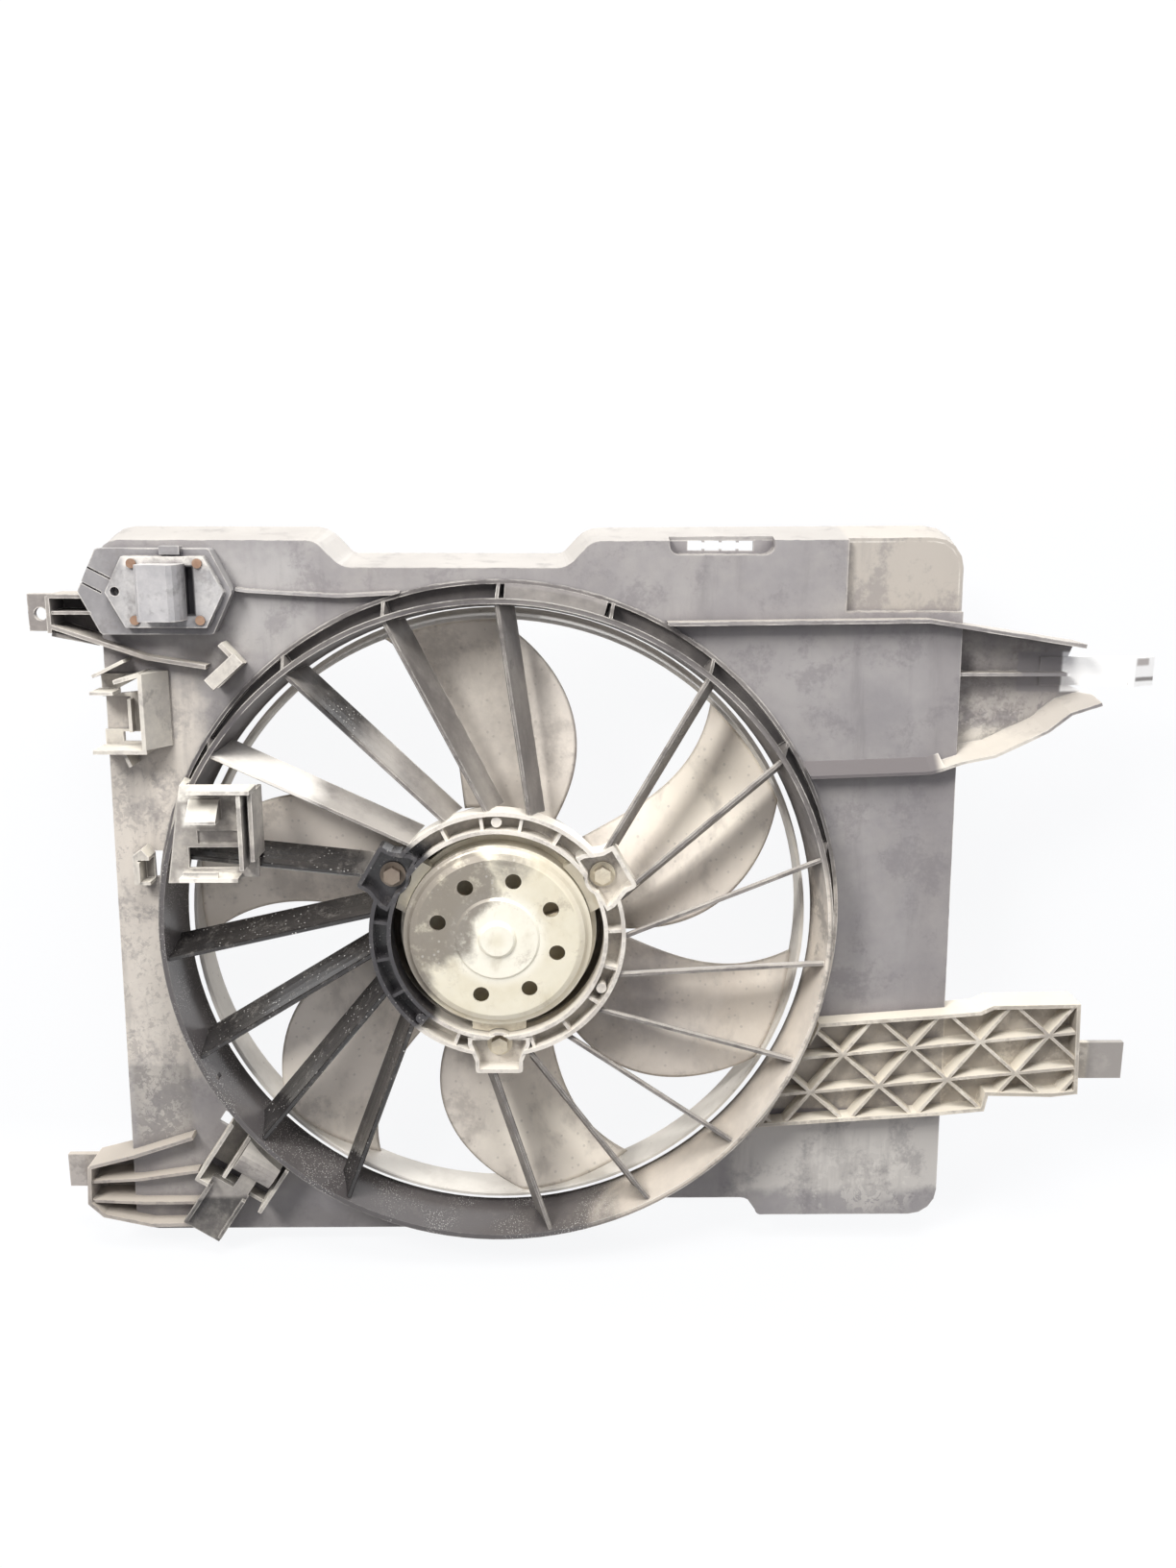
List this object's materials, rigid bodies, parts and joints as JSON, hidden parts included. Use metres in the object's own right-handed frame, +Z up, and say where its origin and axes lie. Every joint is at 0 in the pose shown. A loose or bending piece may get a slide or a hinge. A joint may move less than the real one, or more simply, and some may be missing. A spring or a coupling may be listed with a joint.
{
  "type": "radiator cooling fan",
  "caption": "Electric ring fan with a flat motor on angled stator vanes, in a moulded plastic shroud with side mounting arms.",
  "frame": {"origin": "where the fan's axis crosses the plane of the lip that seals on the radiator", "axes": "+Y along the fan's axis towards the radiator, +Z up as fitted in the vehicle, +X to the right seen from the motor side"},
  "size_m": [0.708, 0.088, 0.4817],
  "materials": {
    "moulding": "dusty matt moulding",
    "pale_moulding": "dry dusty matt moulding, paler with dust",
    "vane_moulding": "oily dark moulding",
    "plug_plastic": "black connector plastic",
    "resistor_plastic": "grey connector plastic",
    "terminal_metal": "tin-plated blades",
    "rivet_copper": "copper-coloured rivets",
    "coil_body": "matt ceramic-coated wire",
    "motor_steel": "yellowish zinc-plated pressed steel",
    "bolt_steel": "yellow-passivated steel",
    "magnet_ferrite": "matt dark ferrite",
    "brush_board": "brown laminate",
    "brush_carbon": "dark carbon",
    "spring_steel": "bright spring steel",
    "bearing_bronze": "sintered bronze",
    "fan_plastic": "dusty grey-brown moulding",
    "band_plastic": "dusty moulding",
    "shaft_steel": "ground steel",
    "core_steel": "laminated steel",
    "winding_copper": "enamelled copper"
  },
  "bodies": {
    "carrier": {"shroud_panel": "moulding", "shroud_rim": "moulding", "fan_tunnel": "pale_moulding", "stator_vanes": "vane_moulding", "motor_ring": "moulding", "arm_upper_left": "moulding", "arm_upper_right": "moulding", "arm_lower_left": "moulding", "arm_lower_right": "pale_moulding", "relay_bracket": "pale_moulding", "lead_bracket": "pale_moulding", "lead_hook": "pale_moulding", "lead_clip": "pale_moulding", "plug_holder": "moulding", "motor_plug": "plug_plastic", "resistor_carrier": "pale_moulding", "resistor_plate": "resistor_plastic", "resistor_socket": "resistor_plastic", "resistor_terminals": "terminal_metal", "resistor_rivets": "rivet_copper", "resistor_coil": "coil_body", "motor_can": "motor_steel", "motor_end_cap": "motor_steel", "motor_flange": "motor_steel", "motor_bolts": "bolt_steel", "motor_nuts": "bolt_steel", "motor_magnets": "magnet_ferrite", "brush_plate": "brush_board", "brushes": "brush_carbon", "brush_springs": "spring_steel", "front_bearing": "bearing_bronze", "rear_bearing": "bearing_bronze"},
    "rotor": {"fan_hub": "fan_plastic", "fan_blades": "fan_plastic", "fan_band": "band_plastic", "fan_clip": "spring_steel", "motor_shaft": "shaft_steel", "armature_core": "core_steel", "armature_windings": "winding_copper", "commutator": "winding_copper"}
  },
  "joints": [
    {"name": "fan_spin", "type": "hinge", "parent": "carrier", "child": "rotor", "pos_m": [0, -0.025, 0], "axis": [0, 1, 0], "continuous": true}
  ]
}
